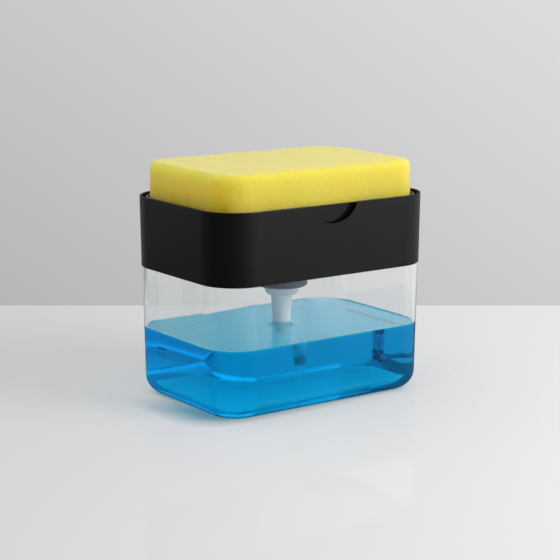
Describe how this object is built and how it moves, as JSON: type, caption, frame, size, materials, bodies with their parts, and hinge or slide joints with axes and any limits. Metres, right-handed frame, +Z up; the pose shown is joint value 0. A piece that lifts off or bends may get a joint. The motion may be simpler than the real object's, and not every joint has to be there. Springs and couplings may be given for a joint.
{
  "type": "soap pump caddy",
  "caption": "Clear soap tank under a housing with a built-in pump; pressing the sponge tray on top pumps soap up into the sponge.",
  "frame": {"origin": "centre of the tank's base, on the surface it stands on", "axes": "+X along the longer side, -Y towards the side with the finger notch, +Z up"},
  "size_m": [0.14, 0.0974, 0.1289],
  "materials": {
    "clear_plastic": "clear, polished",
    "blue_soap": "clear blue liquid",
    "black_plastic": "fine matt",
    "yellow_foam": "open-pored foam",
    "milky_plastic": "translucent natural",
    "grey_plastic": "satin",
    "seal_rubber": "soft matt",
    "spring_steel": "bright drawn wire"
  },
  "bodies": {
    "tank": {"reservoir": "clear_plastic", "soap_fill": "blue_soap"},
    "upper_housing": {"housing": "black_plastic", "pump_collar": "grey_plastic", "collar_gasket": "seal_rubber", "pump_cylinder": "milky_plastic", "stem_guide": "milky_plastic", "return_spring": "spring_steel", "ball_cage": "milky_plastic", "dip_tube": "milky_plastic"},
    "plunger": {"pump_head": "milky_plastic", "pump_stem": "milky_plastic", "piston_rod": "milky_plastic", "piston_seal": "seal_rubber"},
    "tray": {"press_tray": "black_plastic"},
    "sponge_block": {"sponge": "yellow_foam"},
    "inlet_valve": {"inlet_ball": "spring_steel"},
    "outlet_valve": {"outlet_ball": "spring_steel"}
  },
  "joints": [
    {"name": "housing_lift", "type": "slide", "parent": "tank", "child": "upper_housing", "axis": [0, 0, 1], "range_m": [0, 0.09]},
    {"name": "pump_stroke", "type": "slide", "parent": "upper_housing", "child": "plunger", "axis": [0, 0, -1], "range_m": [0, 0.01], "stiffness_N_per_m": 1150, "springref_m": -0.006, "deforming": ["return_spring"]},
    {"name": "tray_lift", "type": "slide", "parent": "plunger", "child": "tray", "axis": [0, 0, 1], "range_m": [0, 0.05]},
    {"name": "sponge_lift", "type": "slide", "parent": "tray", "child": "sponge_block", "axis": [0, 0, 1], "range_m": [0, 0.06]},
    {"name": "inlet_ball_lift", "type": "slide", "parent": "upper_housing", "child": "inlet_valve", "axis": [0, 0, 1], "range_m": [0, 0.0015]},
    {"name": "outlet_ball_lift", "type": "slide", "parent": "plunger", "child": "outlet_valve", "axis": [0, 0, 1], "range_m": [0, 0.0015]}
  ]
}
